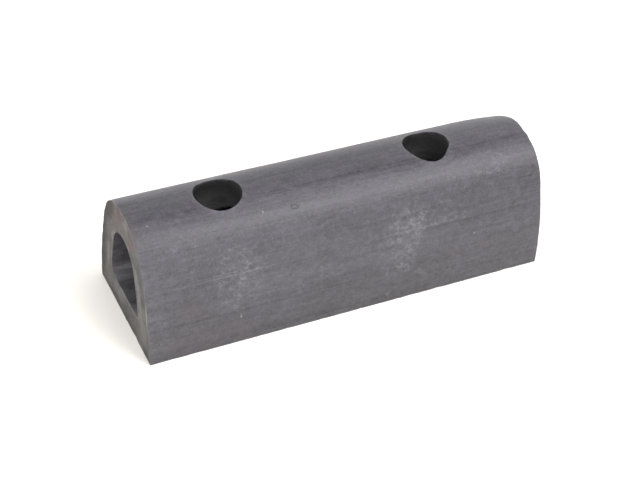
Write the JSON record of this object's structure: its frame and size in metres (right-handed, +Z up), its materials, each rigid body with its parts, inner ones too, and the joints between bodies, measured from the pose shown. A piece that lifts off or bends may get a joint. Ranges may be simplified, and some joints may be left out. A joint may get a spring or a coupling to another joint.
{
  "type": "bolt-down rubber bump block",
  "caption": "Short hollow D-section rubber bump block with socket holes through its crown, hex bolts in its base holes, and flat and spring washers loose on the cavity floor.",
  "frame": {"origin": "middle of the underside, on the ground that the block stands on", "axes": "+X along the length, towards the end that is further from its socket hole; +Y across the width; +Z up through the crown"},
  "size_m": [0.3048, 0.1016, 0.093],
  "materials": {
    "rubber": "matte, with a chalky bloom",
    "bolt_steel": "zinc plated",
    "washer_steel": "zinc plated"
  },
  "bodies": {
    "bump_block": {"rubber_body": "rubber"},
    "left_bolt": {"left_bolt": "bolt_steel"},
    "left_washers": {"left_flat_washer": "washer_steel", "left_spring_washer": "washer_steel"},
    "right_bolt": {"right_bolt": "bolt_steel"},
    "right_washers": {"right_flat_washer": "washer_steel", "right_spring_washer": "washer_steel"}
  },
  "joints": [
    {"name": "left_bolt_slide", "type": "slide", "parent": "bump_block", "child": "left_bolt", "axis": [0, 0, 1], "range_m": [-0.0235, 0.095]},
    {"name": "left_washer_lift", "type": "slide", "parent": "bump_block", "child": "left_washers", "axis": [0, 0, 1], "range_m": [0, 0.0235]},
    {"name": "right_bolt_slide", "type": "slide", "parent": "bump_block", "child": "right_bolt", "axis": [0, 0, 1], "range_m": [-0.0235, 0.095]},
    {"name": "right_washer_lift", "type": "slide", "parent": "bump_block", "child": "right_washers", "axis": [0, 0, 1], "range_m": [0, 0.0235]}
  ]
}
